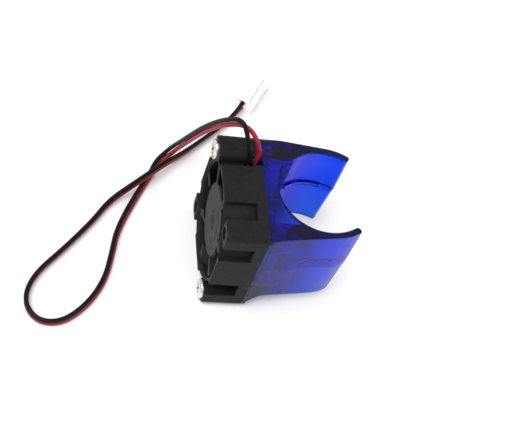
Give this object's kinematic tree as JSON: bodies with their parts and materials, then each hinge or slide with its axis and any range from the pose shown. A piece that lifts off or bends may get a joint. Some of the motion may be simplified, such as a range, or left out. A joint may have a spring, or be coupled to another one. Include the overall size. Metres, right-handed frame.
{
  "type": "clip-on cooling fan duct",
  "caption": "Open round push-on duct in tinted clear plastic that holds a small square axial fan and blows air through a cylindrical heatsink, with a twin lead and plug.",
  "frame": {"origin": "the point where the clip's axis meets the fan's spin axis", "axes": "+Z along the clip's axis, upwards; +X the way the fan blows and the clip's mouth opens; -X out of the fan's intake"},
  "size_m": [0.0741, 0.0821, 0.0397],
  "materials": {
    "blue_polycarbonate": "clear tinted, polished",
    "black_plastic": "fine moulded texture",
    "black_plastic_rotor": "satin",
    "grey_label": "printed film",
    "plated_steel": "satin",
    "bonded_ferrite": "matt",
    "sintered_bronze": "oiled",
    "red_fibre": "matt",
    "silicon_steel": "laminated",
    "white_nylon": "satin",
    "white_nylon_housing": "satin",
    "enamelled_copper": "varnished",
    "green_board": "solder mask",
    "black_resin": "matt",
    "tan_ceramic": "satin",
    "solder_tin": "bright",
    "nickel_steel": "nickel plated",
    "red_insulation": "soft gloss",
    "black_insulation": "soft gloss",
    "tinned_brass": "tinned"
  },
  "bodies": {
    "housing": {"duct": "blue_polycarbonate", "fan_frame": "black_plastic", "bearing_sleeve": "sintered_bronze", "oil_seal_washer": "red_fibre", "thrust_pad": "white_nylon", "stator_core": "silicon_steel", "insulator_front": "white_nylon", "insulator_back": "white_nylon", "stator_coil_1": "enamelled_copper", "stator_coil_2": "enamelled_copper", "stator_coil_3": "enamelled_copper", "stator_coil_4": "enamelled_copper", "circuit_board": "green_board", "hall_driver_chip": "black_resin", "chip_capacitor": "tan_ceramic", "solder_joints": "solder_tin", "screw_top": "nickel_steel", "screw_bottom": "nickel_steel", "red_lead_tail": "red_insulation", "black_lead_tail": "black_insulation", "red_lead": "red_insulation", "black_lead": "black_insulation", "connector_housing": "white_nylon_housing", "crimp_terminal_red": "tinned_brass", "crimp_terminal_black": "tinned_brass"},
    "rotor": {"impeller": "black_plastic_rotor", "hub_label": "grey_label", "rotor_yoke": "plated_steel", "ring_magnet": "bonded_ferrite", "rotor_shaft": "plated_steel", "retaining_clip": "white_nylon"}
  },
  "joints": [
    {"name": "rotor_spin", "type": "hinge", "parent": "housing", "child": "rotor", "pos_m": [-0.02, 0, 0], "axis": [1, 0, 0], "continuous": true}
  ]
}
